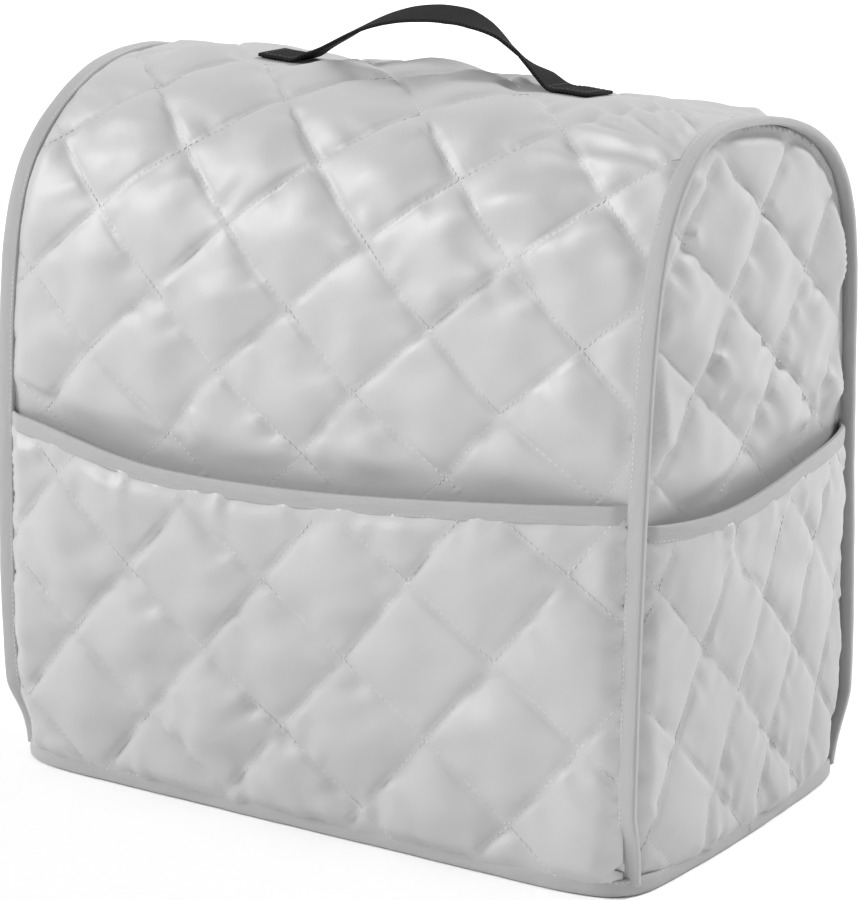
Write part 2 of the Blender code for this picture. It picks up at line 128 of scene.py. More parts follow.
# %% The strip's and the ends' surfaces
HEM_X, HEM_Y = 186.3 * MM, 111.7 * MM    # half width and depth of the hem's plan
HEM_SQUARENESS = 12
HEM_TAPER = 5.0 * MM
HEM_REACH = 45 * MM
HEM_PULL = 2.5 * MM
BOW_STRIP, BOW_CROWN, BOW_END = 8.0 * MM, 4.5 * MM, 8.0 * MM
CROWN_FROM, CROWN_BLEND = 280 * MM, 70 * MM
HUMP, HUMP_AT, HUMP_WIDE = 4.0 * MM, -120 * MM, 28 * MM
BOW_END_HALF, BOW_END_FADE = 108.7 * MM, 170 * MM
END_TUCK, END_TUCK_AT, END_TUCK_FADE = 6.5 * MM, 100 * MM, 12 * MM
TOP = 354 * MM
END_X = 177.7 * MM


def section(x, s):
    """The seams' (y, z) at s, blended across the width."""
    share = ((x / SEAM_X + 1) / 2)[..., None]
    left = np.stack([np.interp(s, ALONG, column) for column in LEFT_SEAM.T], axis=-1)
    right = np.stack([np.interp(s, ALONG, column) for column in RIGHT_SEAM.T], axis=-1)
    return left + (right - left) * share


def hem_outline(across, half_across, half_out):
    """How far out the hem's plan reaches at a place across it."""
    inside = np.clip(np.abs(across / half_across), 0, 0.999) ** HEM_SQUARENESS
    return half_out * (1 - inside) ** (1 / HEM_SQUARENESS)


def strip_point(x, s, out):
    """A place on the strip: x across, s along from the front hem, out in front of the cloth."""
    x, s, out = np.broadcast_arrays(x, s, out)
    step = 4 * MM
    run = section(x, np.minimum(s + step, STRIP_LENGTH)) - section(x, np.maximum(s - step, 0))
    from_hem = np.minimum(s, STRIP_LENGTH - s)
    normal = np.stack([-run[..., 1], run[..., 0] * smooth(from_hem / (1.3 * HEM_REACH))], axis=-1)
    normal /= np.linalg.norm(normal, axis=-1, keepdims=True)
    crown = smooth((from_hem - CROWN_FROM) / CROWN_BLEND)
    belly = 1 - (x / SEAM_X) ** 2
    hump = HUMP * np.exp(-((x - HUMP_AT) / HUMP_WIDE) ** 2)
    bow = BOW_STRIP * belly * (1 - crown) + (BOW_CROWN * belly ** 2 + hump) * crown
    place = section(x, s) + normal * bow[..., None]
    near = smooth(1 - from_hem / HEM_REACH)
    x = x * (1 - near * HEM_PULL / SEAM_X)
    hem = np.sign(place[..., 0]) * hem_outline(x, HEM_X - HEM_TAPER, HEM_Y)
    place[..., 0] += (hem - place[..., 0]) * near
    place += normal * out[..., None]
    return np.stack([x, place[..., 0], place[..., 1]], axis=-1)


def seam_point(side, s, across, out):
    """A place on a seam's tape."""
    place = strip_point(side * SEAM_X, s, out)
    place[..., 0] += side * across
    return place


def end_point(side, y, z, out):
    """A place on an end: y across, z up, out in front of the cloth."""
    y, z, out = np.broadcast_arrays(y, z, out)
    x = END_X + BOW_END * np.clip(1 - (y / BOW_END_HALF) ** 2, 0, 1) * smooth((TOP - z) / BOW_END_FADE)
    tuck = END_TUCK * np.exp(-np.clip(END_TUCK_AT - np.abs(y), 0, None) / END_TUCK_FADE)
    hem = hem_outline(y, HEM_Y, HEM_X) - HEM_TAPER * (y / HEM_Y) ** 2 - tuck
    x = x + (hem - x) * smooth(1 - z / HEM_REACH) + out
    return np.stack([side * x, y, z], axis=-1)


# %% [markdown]
# ## Pockets
#
# Each pocket is a second quilted sheet caught in the side seams and the hem. Its mouth is cut a
# little long, so it sags and hangs open. The pocket could be copied from its panel and pushed
# out, but it rises out of the seams instead, as cloth does that is held along three edges.

# %% The pockets' surfaces
FRONT_POCKET_TOP = ((-184, 187), (-152, 185), (-100, 177.5), (-61, 175), (-10, 176), (40, 179), (140, 188),
                    (184, 192))
END_POCKET_TOP = ((-112, 183), (-77, 179), (-35, 177), (18, 181), (49, 183.5), (112, 185))
POCKET_CUT = 182 * MM
POCKET_OUT, POCKET_SET = 2.7 * MM, 1.6 * MM
FRONT_SLACK, END_SLACK = 9.0 * MM, 7.0 * MM
SAG_FROM, SLACK_FROM = 25 * MM, 30 * MM
FLAT_ABOVE, FLAT_BLEND = 22 * MM, 20 * MM
SEWN_OUT = 0.6 * MM       # a pocket's cloth lies this far out where a seam holds it
RISE_BY = 8 * MM          # and stands free this far from the seam
STRIP_HALF = 178.4 * MM   # the strip and its pocket run in under the seam tapes


def pocket_top(table, across):
    line = evenly(np.array(table) * MM, 81)
    return np.interp(across, line[:, 0], line[:, 1])


def sagged(table, across, up):
    """Height on the panel of a place on the pocket as it was cut."""
    return up + (pocket_top(table, across) - POCKET_CUT) * smooth((up - SAG_FROM) / (POCKET_CUT - SAG_FROM))


def pocket_out(across, sides, up, amount):
    """How far a pocket stands off its panel: nothing in the seams, most at the middle of its mouth."""
    low, high = sides
    middle = np.clip(1 - np.abs((2 * across - low - high) / (high - low)) ** 4, 0, 1)
    slack = amount * middle * np.clip((up - SLACK_FROM) / (POCKET_CUT - SLACK_FROM), 0, 1) ** 1.5
    free = smooth(np.minimum(np.minimum(across - low, high - across), up - 4 * MM) / RISE_BY)
    return SEWN_OUT + (POCKET_OUT - SEWN_OUT + slack) * free


def behind_pocket(table, across, up):
    """1 on the panel behind a pocket, 0 above its mouth."""
    return smooth((pocket_top(table, across) + FLAT_ABOVE - up) / FLAT_BLEND)


FRONT_SIDES = (-STRIP_HALF, STRIP_HALF)


def front_pocket_point(x, up, out):
    out = out + pocket_out(x, FRONT_SIDES, up, FRONT_SLACK)
    return strip_point(x, sagged(FRONT_POCKET_TOP, x, up), out)


def end_pocket_point(y, up, out):
    out = out + pocket_out(y, END_SIDES, up, END_SLACK)
    return end_point(1, y, sagged(END_POCKET_TOP, y, up), out)


# %% [markdown]
# ## Cut outlines
#
# Cloth is cut flat. The strip and the front pocket are rectangles, and each end is the arch that
# its seam makes, drawn in a little so that the cut edge hides under the tape.

# %% Outlines of the flat pieces
HEM_TAPE, FLANGE, POCKET_TAPE = 8.6 * MM, 9.4 * MM, 9.0 * MM
HEM_CUT = 4 * MM          # the cloth's lower edge, inside the hem's tape
END_INSET = 1.4 * MM
POCKET_EDGE = POCKET_CUT - POCKET_TAPE + 3 * MM


def arch_outline(side):
    s = np.linspace(HEM_CUT, STRIP_LENGTH - HEM_CUT, 48)
    arch = seam_point(side, s, 0, -END_INSET)[:, 1:]
    arch[[0, -1], 1] = HEM_CUT
    return arch


def sides_at(arch, z):
    """Where an end's front and back edges are at height z."""
    crown = arch[:, 1].argmax()
    front, back = arch[:crown + 1], arch[crown:][::-1]
    return np.interp(z, front[:, 1], front[:, 0]), np.interp(z, back[:, 1], back[:, 0])


def pocket_outline(sides, levels):
    up = [(low, z) for (low, high), z in zip(sides, levels)]
    down = [(high, z) for (low, high), z in zip(sides, levels)]
    return np.array(up + down[::-1])


def from_edge(outline, across, up):
    """Distance inside a convex outline, negative outside it."""
    centre = outline.mean(axis=0)
    distance = np.full(np.shape(across), 1.0)
    for a, b in zip(outline, np.roll(outline, -1, axis=0)):
        inward = np.array([b[1] - a[1], a[0] - b[0]]) / np.linalg.norm(b - a)
        if inward @ (centre - a) < 0:
            inward = -inward
        distance = np.minimum(distance, (across - a[0]) * inward[0] + (up - a[1]) * inward[1])
    return distance


def flat_area(outline):
    x, y = outline.T
    return abs(x @ np.roll(y, -1) - y @ np.roll(x, -1)) / 2


right_arch, left_arch = arch_outline(1), arch_outline(-1)
END_SIDES = sides_at(right_arch, POCKET_CUT)
levels = np.linspace(HEM_CUT, POCKET_EDGE, 8)
OUTLINES = {
    "strip": np.array([(-STRIP_HALF, HEM_CUT), (-STRIP_HALF, STRIP_LENGTH - HEM_CUT),
                       (STRIP_HALF, STRIP_LENGTH - HEM_CUT), (STRIP_HALF, HEM_CUT)]),
    "right end": right_arch,
    "left end": left_arch,
    "front pocket": pocket_outline([FRONT_SIDES] * 2, levels[[0, -1]]),
    "end pocket": pocket_outline([sides_at(right_arch, z) for z in levels], levels),
}
for name, outline in OUTLINES.items():
    print(name, "is cut from", round(flat_area(outline), 4), "square metres")

# %% [markdown]
# ## The quilting's lines
#
# Two families of stitch lines cross in diamonds. Counting lines instead of millimetres gives
# each place on the cloth two numbers, p and q, and a stitch line wherever one of them is whole.
# On the strip the lines drift sideways towards the pocket, where the cloth was pulled askew.

# %% From millimetres to stitch lines and back
QUILTING = {
    # cloth: (step across, its rise, step up, its lean, crossing across, crossing up)
    "strip": (39.3, 0.0, 34.4, 0.0, -9.0, 260.0),
    "right end": (38.0, 0.0, 36.0, -4.5, 12.0, 309.0),
    "left end": (38.0, 0.0, 36.0, 4.5, -12.0, 309.0),
    "front pocket": (41.0, 4.2, 39.2, -4.0, -14.0, 133.0),
    "end pocket": (27.0, 5.0, 40.0, -8.0, 0.0, 126.0),
}
DRIFT, DRIFT_FROM, DRIFT_BY = 12 * MM, 230 * MM, 45 * MM


def drift(quilt, up):
    return DRIFT * smooth((DRIFT_FROM - up) / DRIFT_BY) if quilt == "strip" else 0 * up


def lattice(quilt):
    step, rise, step_up, lean, at_across, at_up = QUILTING[quilt]
    return np.array([[step, lean], [rise, step_up]]) * MM, np.array([at_across, at_up]) * MM


def to_lines(quilt, across, up):
    steps, start = lattice(quilt)
    i, j = np.linalg.solve(steps, np.stack([across - drift(quilt, up) - start[0], up - start[1]]))
    return (i + j) / 2, (i - j) / 2


def to_flat(quilt, p, q):
    steps, start = lattice(quilt)
    across, up = np.tensordot(steps, np.stack([p + q, p - q]), axes=1) + start.reshape(2, *[1] * np.ndim(p))
    return across + drift(quilt, up), up


# %% [markdown]
# ## Puffing the cloth up
#
# Between its stitch lines the satin is a little too large for the wadding under it, so it rises
# in soft pillows, no two alike. Blender's cloth finds those uneven shapes by itself: a flat sheet
# is pinned along its stitch lines, grows by a few percent and is blown up gently. All the sheets
# are simulated side by side. The fine puckers along the seams come later, from a formula.

# %% Flat sheets with cells along their stitch lines
CELLS = 10                # simulated cells along one side of a diamond
MARGIN = 6 * MM           # cloth simulated past the cut edge
SEAM_HOLD = 1.0 * MM      # a seam holds the cloth this far in from its cut edge
START_PUFF = 1.5 * MM
START_WRINKLE = 0.5 * MM


def puff_shape(p, q):
    return np.abs(np.sin(math.pi * p) * np.sin(math.pi * q))


def blank(quilt):
    """A flat sheet: its points on the cloth and along the lines, its cells and what holds them."""
    outline = OUTLINES[quilt]
    p, q = to_lines(quilt, outline[:, 0], outline[:, 1])
    rows = np.arange(math.floor(p.min() * CELLS) - 8, math.ceil(p.max() * CELLS) + 9)
    columns = np.arange(math.floor(q.min() * CELLS) - 8, math.ceil(q.max() * CELLS) + 9)
    a, b = np.meshgrid(rows, columns, indexing="ij")
    across, up = to_flat(quilt, a / CELLS, b / CELLS)
    edge = from_edge(outline, across, up)
    index = np.arange(a.size).reshape(a.shape)
    quads = np.stack([index[:-1, :-1], index[:-1, 1:], index[1:, 1:], index[1:, :-1]], axis=-1).reshape(-1, 4)
    quads = quads[(edge.ravel()[quads] > -MARGIN).all(axis=1)]
    kept, quads = np.unique(quads, return_inverse=True)
    held = (a % CELLS == 0) | (b % CELLS == 0) | (edge < SEAM_HOLD)
    return {
        "flat": np.stack([across, up], axis=-1).reshape(-1, 2)[kept],
        "lines": np.stack([a, b], axis=-1).reshape(-1, 2)[kept] / CELLS,
        "quads": quads.reshape(-1, 4),
        "held": held.ravel()[kept],
    }


def soft_noise(points, pitch, seed):
    """Smooth noise on the flat cloth, from a seeded grid of this pitch."""
    cells = ((points - points.min(axis=0)) / pitch)
    whole = cells.astype(int)
    part = cells - whole
    grid = np.random.default_rng(seed).normal(0, 1, whole.max(axis=0) + 2)
    i, j = whole.T
    u, v = smooth(part).T
    low = grid[i, j] * (1 - u) + grid[i + 1, j] * u
    high = grid[i, j + 1] * (1 - u) + grid[i + 1, j + 1] * u
    return low * (1 - v) + high * v


blanks = {quilt: blank(quilt) for quilt in QUILTING}
for seed, sheet in enumerate(blanks.values()):
    shape = np.sqrt(puff_shape(*sheet["lines"].T)) * ~sheet["held"]
    wrinkle = soft_noise(sheet["flat"], 16 * MM, seed)
    sheet["start"] = np.column_stack([sheet["flat"], shape * (START_PUFF + START_WRINKLE * wrinkle)])
print("cells of cloth:", {quilt: len(sheet["quads"]) for quilt, sheet in blanks.items()})

# %% [markdown]
# The growth is what makes pillows: a negative shrink factor lets each cell grow. Bending
# stiffness stands for the wadding and keeps the wrinkles as wide as the real ones.

# %% The cloth simulation
FRAMES = 16
CLOTH = {
    "quality": 6,
    "mass": 0.1,
    "tension_stiffness": 15,
    "compression_stiffness": 15,
    "shear_stiffness": 5,
    "bending_stiffness": 8,
    "tension_damping": 5,
    "compression_damping": 5,
    "shrink_min": -0.045,
    "use_pressure": True,
    "uniform_pressure_force": 2.5,
    "vertex_group_mass": "held",
}


def to_simulate(quilt, sheet):
    mesh = bpy.data.meshes.new(quilt)
    mesh.from_pydata(sheet["start"].tolist(), [], sheet["quads"].tolist())
    thing = bpy.data.objects.new(quilt, mesh)
    bpy.context.scene.collection.objects.link(thing)
    held = thing.vertex_groups.new(name="held")
    held.add([int(k) for k in np.nonzero(sheet["held"])[0]], 1.0, "REPLACE")
    cloth = thing.modifiers.new("Cloth", "CLOTH")
    for key, value in CLOTH.items():
        setattr(cloth.settings, key, value)
    cloth.settings.effector_weights.gravity = 0
    cloth.collision_settings.use_collision = False
    cloth.collision_settings.use_self_collision = False
    cloth.point_cache.frame_start = 1
    cloth.point_cache.frame_end = FRAMES
    return thing


def simulate(sheets):
    """Blows all the sheets up at once and keeps where their points went."""
    things = {quilt: to_simulate(quilt, sheet) for quilt, sheet in sheets.items()}
    for moment in range(1, FRAMES + 1):
        bpy.context.scene.frame_set(moment)
    seen = bpy.context.evaluated_depsgraph_get()
    for quilt, thing in things.items():
        mesh = thing.evaluated_get(seen).data
        points = np.zeros(3 * len(mesh.vertices), np.float32)
        mesh.vertices.foreach_get("co", points)
        sheets[quilt]["puffed"] = points.reshape(-1, 3).astype(float)
    for thing in things.values():
        bpy.data.objects.remove(thing)
    bpy.context.scene.frame_set(1)


def eased(sheet, rounds=1):
    """Takes the cell-sized ripples out of the simulated cloth, away from what holds it."""
    quads = sheet["quads"]
    ends = np.concatenate([quads[:, [0, 1]], quads[:, [1, 2]], quads[:, [2, 3]], quads[:, [3, 0]]])
    points = sheet["puffed"]
    for _ in range(rounds):
        total, count = np.zeros_like(points), np.zeros(len(points))
        for a, b in (ends.T, ends.T[::-1]):
            np.add.at(total, a, points[b])
            np.add.at(count, a, 1)
        mean = total / np.maximum(count, 1)[:, None]
        points = np.where(sheet["held"][:, None], points, (points + mean) / 2)
    return points


simulate(blanks)
for quilt, sheet in blanks.items():
    sheet["puffed"] = eased(sheet, 2)
    print(quilt, "rises", round(sheet["puffed"][:, 2].max() / MM, 1), "mm")

# %% [markdown]
# ## Shader maths
#
# The finishes are small sums of noise and stitch lines. Nodes for every plus and times would
# bury that, so a wire between nodes is wrapped in a class that takes Python's own operators.

# %% A wire that can be calculated with
class Wire:
    """An output socket, or a number, that adds a node for each calculation."""

    def __init__(self, finish, socket):
        self.finish, self.socket = finish, socket

    def maths(self, operation, *values):
        return self.finish.node("Math", {"operation": operation}, dict(enumerate(values)))

    def __add__(self, other):
        return self.maths("ADD", self, other)

    def __sub__(self, other):
        return self.maths("SUBTRACT", self, other)

    def __rsub__(self, other):
        return self.maths("SUBTRACT", other, self)

    def __mul__(self, other):
        return self.maths("MULTIPLY", self, other)

    def __pow__(self, other):
        return self.maths("POWER", self, other)

    __radd__, __rmul__ = __add__, __mul__

    def near_whole(self, reach):
        """1 where this counts a whole line, falling to 0 at this share of a line beside it."""
        away = self.maths("ABSOLUTE", self.maths("FRACT", self + 0.5) - 0.5)
        return self.maths("MAXIMUM", 1 - away * (1 / reach), 0.0)

    def wave(self, turns=1.0):
        return self.maths("COSINE", self * (2 * math.pi * turns))


class Finish:
    """A material in the making, on one Principled shader."""

    def __init__(self, name, **sockets):
        self.material = bpy.data.materials.new(name)
        self.material.use_nodes = True
        self.tree = self.material.node_tree
        self.shader = self.tree.nodes["Principled BSDF"]
        for key, value in sockets.items():
            self.feed(self.shader.inputs[key.replace("_", " ")], value)

    def feed(self, socket, value):
        if isinstance(value, Wire):
            self.tree.links.new(value.socket, socket)
        else:
            socket.default_value = value

    def node(self, kind, settings, values, output=0):
        made = self.tree.nodes.new("ShaderNode" + kind)
        for key, value in settings.items():
            setattr(made, key, value)
        for key, value in values.items():
            self.feed(made.inputs[key], value)
        return Wire(self, made.outputs[output])

    def attribute(self, name):
        return self.node("Attribute", {"attribute_name": name}, {}, "Vector")

    def parts(self, vector):
        made = self.node("SeparateXYZ", {}, {0: vector})
        return [Wire(self, output) for output in made.socket.node.outputs]

    def vector(self, x=0.0, y=0.0, z=0.0):
        return self.node("CombineXYZ", {}, {0: x, 1: y, 2: z})

    def noise(self, vector, scale, detail=2.0):
        return self.node("TexNoise", {}, {"Vector": vector, "Scale": scale, "Detail": detail})

    def blend(self, share, low, high):
        """Two colours mixed."""
        return self.node("Mix", {"data_type": "RGBA"}, {0: share, 6: (*low, 1), 7: (*high, 1)}, 2)

    def set(self, socket, value):
        self.feed(self.shader.inputs[socket], value)

    def bump(self, height_mm, strength=1.0):
        """Relief given in millimetres, on top of the shape."""
        self.set("Normal", self.node("Bump", {}, {"Strength": strength, "Distance": MM, "Height": height_mm}))


# %% [markdown]
# ## Silver satin
#
# Satin has long floating threads, so light slides over it in broad soft patches. The weave is far
# finer than a pixel here and shows as a faint silky grain. Each stitch line gathers the cloth in
# little puckers that run away from it, and the needle leaves a dimple at every stitch. The finest
# of those are too small for the mesh, so they are relief in the finish, along the stitch lines.

# %% The satin's finish
STITCHES = 16             # stitches along one side of a diamond
DIAMOND = 52 * MM         # side of a diamond


def satin_finish(name, dark, light):
    f = Finish(name, Metallic=0.12, Sheen_Weight=0.06, Sheen_Roughness=0.4)
    cloth, quilt = f.attribute("cloth"), f.attribute("quilt")
    p, q, _ = f.parts(quilt)
    across, up, _ = f.parts(cloth)
    relief = (f.noise(cloth, 80.0, 3.0) - 0.5) * 0.25
    relief = relief + (f.noise(f.vector(across * 900, up * 5200), 1.0, 1.0) - 0.5) * 0.03
    for line, run, lane in ((p, q, 3.7), (q, p, 8.3)):
        count = line.maths("ROUND", line)
        gathers = f.noise(f.vector(run * 11, count * lane, line * 1.2), 1.0, 1.5) - 0.5
        relief = relief + gathers * (line.near_whole(0.16) ** 1.5) * 0.5
        dimple = (run.wave(STITCHES) * 0.5 + 0.5) * (line.near_whole(0.02) ** 2)
        relief = relief - dimple * 0.12
    f.bump(relief, 0.9)
    cloudy = f.noise(cloth, 9.0, 3.0)
    f.set("Base Color", f.blend(cloudy, dark, light))
    f.set("Roughness", 0.48 + f.noise(cloth, 30.0, 2.0) * 0.14)
    return f.material


satin = satin_finish("silver_satin", (0.38, 0.38, 0.383), (0.435, 0.435, 0.438))
print("satin uses", len(satin.node_tree.nodes), "nodes")

# %% [markdown]
# ## Binding tape, thread and webbing
#
# The tape is a dull woven polyester, folded over each raw edge: two crossing waves make its plain
# weave. Webbing is thicker and ribbed, nearly black. Thread only needs to be a little lighter or
# glossier than what it holds down.

# %% The other finishes
def tape_finish(name, dark, light):
    f = Finish(name, Sheen_Weight=0.1, Sheen_Roughness=0.6)
    along, across, _ = f.parts(f.attribute("cloth"))
    weave = along.maths("SINE", along * (2 * math.pi / (0.9 * MM)))
    weft = along.maths("SINE", across * (2 * math.pi / (0.9 * MM)))
    slubs = f.noise(f.vector(along * 160, across * 1300), 1.0, 2.0)
    f.bump(weave * weft * 0.05 + (slubs - 0.5) * 0.22, 0.9)
    f.set("Base Color", f.blend(f.noise(f.vector(along * 60, across * 400), 1.0, 3.0), dark, light))
    f.set("Roughness", 0.66 + slubs * 0.14)
    return f.material


def webbing_finish(name, dark, light):
    f = Finish(name, Specular_IOR_Level=0.12, Sheen_Weight=0.01, Sheen_Roughness=0.5)
    along, across, _ = f.parts(f.attribute("cloth"))
    rib = along.maths("SINE", across * (2 * math.pi / (1.5 * MM)))
    twist = along.maths("SINE", along * (2 * math.pi / (1.9 * MM)) + rib * 1.2)
    f.bump(rib * 0.16 + twist * 0.12 + (f.noise(f.vector(along * 900, across * 900), 1.0, 2.0) - 0.5) * 0.1)
    f.set("Base Color", f.blend(twist * rib * 0.5 + 0.5, dark, light))
    f.set("Roughness", 0.62 + f.noise(f.vector(along * 200, across * 200), 1.0, 2.0) * 0.2)
    return f.material


def thread_finish(name, dark, light):
    f = Finish(name, Roughness=0.45, Sheen_Weight=0.2)
    place = f.node("TexCoord", {}, {}, "Object")
    f.set("Base Color", f.blend(f.noise(place, 900.0, 2.0), dark, light))
    f.bump((f.noise(place, 2500.0, 1.0) - 0.5) * 0.1)
    return f.material


tape = tape_finish("binding_tape", (0.30, 0.30, 0.302), (0.345, 0.345, 0.347))
webbing = webbing_finish("strap_webbing", (0.004, 0.004, 0.0045), (0.014, 0.014, 0.015))
thread = thread_finish("silver_thread", (0.50, 0.50, 0.505), (0.62, 0.62, 0.625))
black_thread = thread_finish("black_thread", (0.012, 0.012, 0.013), (0.035, 0.035, 0.036))

# %% [markdown]
# ## Laying the quilting on its surfaces
#
# The puffed flat cloth is cut to its outline, doubled into a face and a lining, and every point is
# then carried to the cover's surface: across and up stay, and the height of the puff becomes the
# distance out. The lining bulges a third as much the other way, as wadding does between two
# cloths.

# %% Small and large relief on the puffed cloth
PILLOW = 2.7 * MM         # a diamond's broad rise
PILLOW_POWER = 0.5        # less than 1 makes flatter tops and sharper creases
SIM_SHARE = 0.36          # share of the simulated height on top of it
PUCKER, PUCKER_PITCH, PUCKER_REACH = 1.5 * MM, 7.5 * MM, 9 * MM
SEAM_PUCKER, SEAM_PUCKER_REACH = 1.4 * MM, 10 * MM
EDGE_FLAT, EDGE_RISE = 2.2 * MM, 8 * MM
SWEEP = 1.3 * MM          # height of the long soft wrinkles
BUMPS = np.random.default_rng(11).normal(0, 0.6, 4096)


def bumpy(at):
    """Smooth noise along a line, about one bump in each unit."""
    whole = np.floor(at).astype(int)
    part = smooth(at - whole)
    return BUMPS[whole % 4096] * (1 - part) + BUMPS[(whole + 1) % 4096] * part


def pillows(p, q):
    """Broad rise of each diamond, no two quite alike."""
    uneven = 1 + 0.16 * np.sin(2.9 * np.floor(p) + 1.7 * np.floor(q)) + 0.1 * np.sin(5.1 * np.floor(q))
    return PILLOW * puff_shape(p, q) ** PILLOW_POWER * uneven


def puckers(p, q):
    """Short gathers that run away from each stitch line on both sides."""
    total = 0 * p
    for line, run, seed in ((p, q, 0.0), (q, p, 511.0)):
        away = (line - np.round(line)) * DIAMOND
        near = np.abs(away)
        lane = seed + 61 * np.round(line) + 17 * (away > 0)
        at = run * DIAMOND / PUCKER_PITCH + lane + 0.35 * near / PUCKER_REACH
        strength = 0.35 + smooth(bumpy(run * 2.3 + lane + 900) + 0.5)
        total = total + bumpy(at) * strength * np.exp(-near / PUCKER_REACH) * smooth(near / (3 * MM))
    return PUCKER * total


def seam_puckers(outline, across, up, edge):
    """Gathers that run in from the bound edges."""
    low, high = outline[:, 1].min(), outline[:, 1].max()
    at_hem = np.minimum(up - low, high - up) <= edge + 1e-6
    run = np.where(at_hem, across + 7, up + 3) / (6.5 * MM)
    strength = 0.3 + smooth(bumpy(run / 5 + 40) + 0.5)
    return SEAM_PUCKER * bumpy(run) * strength * np.exp(-edge / SEAM_PUCKER_REACH) * smooth(edge / (4 * MM))


def sweeps(flat, seed):
    """Long soft wrinkles that cross the quilting at a slant."""
    total = 0
    for turn, long, short, share in ((-28, 62, 17, 0.6), (18, 48, 13, 0.4)):
        c, s = math.cos(math.radians(turn)), math.sin(math.radians(turn))
        along, aside = flat[:, 0] * c + flat[:, 1] * s, flat[:, 1] * c - flat[:, 0] * s
        turned = np.stack([along / long, aside / short], axis=1)
        total = total + share * soft_noise(turned, MM, seed + turn % 7)
    return SWEEP * total


# %% Cut and lay one sheet
LINING = 0.35


def new_points(bm, places, **layers):
    """Adds points, and keeps a vector of each named layer on every one."""
    made = [bm.verts.layers.float_vector.new(name) for name in layers]
    points = [bm.verts.new(place) for place in places]
    for layer, values in zip(made, layers.values()):
        for v, value in zip(points, values):
            v[layer] = value
    return points


def add_piece(name, mesh, finish, nodes):
    """A finished mesh becomes a piece that rides on the cover and stands for its CAD nodes."""
    mesh.shade_smooth()
    mesh.materials.append(finish)
    piece = bpy.data.objects.new(name, mesh)
    bpy.context.scene.collection.objects.link(piece)
    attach(piece, ROOT)
    if nodes:
        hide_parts(*nodes)
    return piece


def cut_sheet(quilt):
    """The puffed flat cloth, with four cells for each simulated one, cut to its outline."""
    sheet = blanks[quilt]
    bm = bmesh.new()
    flat_out = np.zeros(len(sheet["flat"]))
    points = new_points(bm, sheet["puffed"], cloth=np.column_stack([sheet["flat"], flat_out]),
                        quilt=np.column_stack([sheet["lines"], flat_out]))
    for quad in sheet["quads"]:
        bm.faces.new([points[k] for k in quad])
    bmesh.ops.subdivide_edges(bm, edges=bm.edges[:], cuts=1, use_grid_fill=True)
    inner = [v for v in bm.verts if not v.is_boundary]
    bmesh.ops.smooth_vert(bm, verts=inner, factor=0.5, use_axis_z=True)
    outline = OUTLINES[quilt]
    centre = outline.mean(axis=0)
    for a, b in zip(outline, np.roll(outline, -1, axis=0)):
        away = np.array([b[1] - a[1], a[0] - b[0]])
        if away @ (a - centre) < 0:
            away = -away
        bmesh.ops.bisect_plane(bm, geom=[*bm.verts, *bm.edges, *bm.faces], dist=1e-7,
                               plane_co=(a[0], a[1], 0), plane_no=(away[0], away[1], 0), clear_outer=True)
    return bm


def laid(flat, lines, quilt, surface, body, relief, base, seed):
    """Places of cut cloth on its surface: relief scales its puff, and base is how far out it starts."""
    across, up, rise = flat.T
    p, q, _ = lines.T
    outline = OUTLINES[quilt]
    edge = from_edge(outline, across, up)
    share, shift = body(across, up)
    puff = SIM_SHARE * rise + pillows(p, q)
    if relief > 0:
        puff = puff + puckers(p, q) + sweeps(flat[:, :2], seed) * np.sqrt(puff_shape(p, q))
        shift = shift + seam_puckers(outline, across, up, edge) * share
    out = base + relief * puff * share * smooth((edge - EDGE_FLAT) / EDGE_RISE) + shift
    return surface(across, up, out) + CENTRE


def quilting(name, quilt, surface, thickness, body, node, relief):
    """One quilted sheet, a face and a lining that meet at its rim.

    body gives the share of the puff that stands at each place, and how far the cloth is shifted out.
    """
    bm = cut_sheet(quilt)
    bm.verts.index_update()
    flat = np.array([v.co[:] for v in bm.verts])
    layers = {key: np.array([v[bm.verts.layers.float_vector[key]][:] for v in bm.verts])
              for key in ("cloth", "quilt")}
    front = [[v.index for v in cell.verts] for cell in bm.faces]
    rim = [(edge.link_loops[0].vert.index, edge.link_loops[0].link_loop_next.vert.index)
           for edge in bm.edges if edge.is_boundary]
    bm.free()
    face = laid(flat, layers["quilt"], quilt, surface, body, relief, thickness / 2, len(name))
    lining = laid(flat, layers["quilt"], quilt, surface, body, -LINING, -thickness / 2, len(name))
    back = [[k + len(flat) for k in reversed(cell)] for cell in front]
    sides = [(b, a, a + len(flat), b + len(flat)) for a, b in rim]
    mesh = bpy.data.meshes.new(name)
    mesh.from_pydata(np.concatenate([face, lining]).tolist(), [], front + back + sides)
    for key, values in layers.items():
        kept = mesh.attributes.new(key, "FLOAT_VECTOR", "POINT")
        kept.data.foreach_set("vector", np.concatenate([values, values]).ravel())
    shell = bmesh.new()
    shell.from_mesh(mesh)
    if shell.calc_volume(signed=True) < 0:
        bmesh.ops.reverse_faces(shell, faces=shell.faces)
    shell.to_mesh(mesh)
    shell.free()
    print(name, len(mesh.polygons), "faces")
    return add_piece(name, mesh, satin, [node])
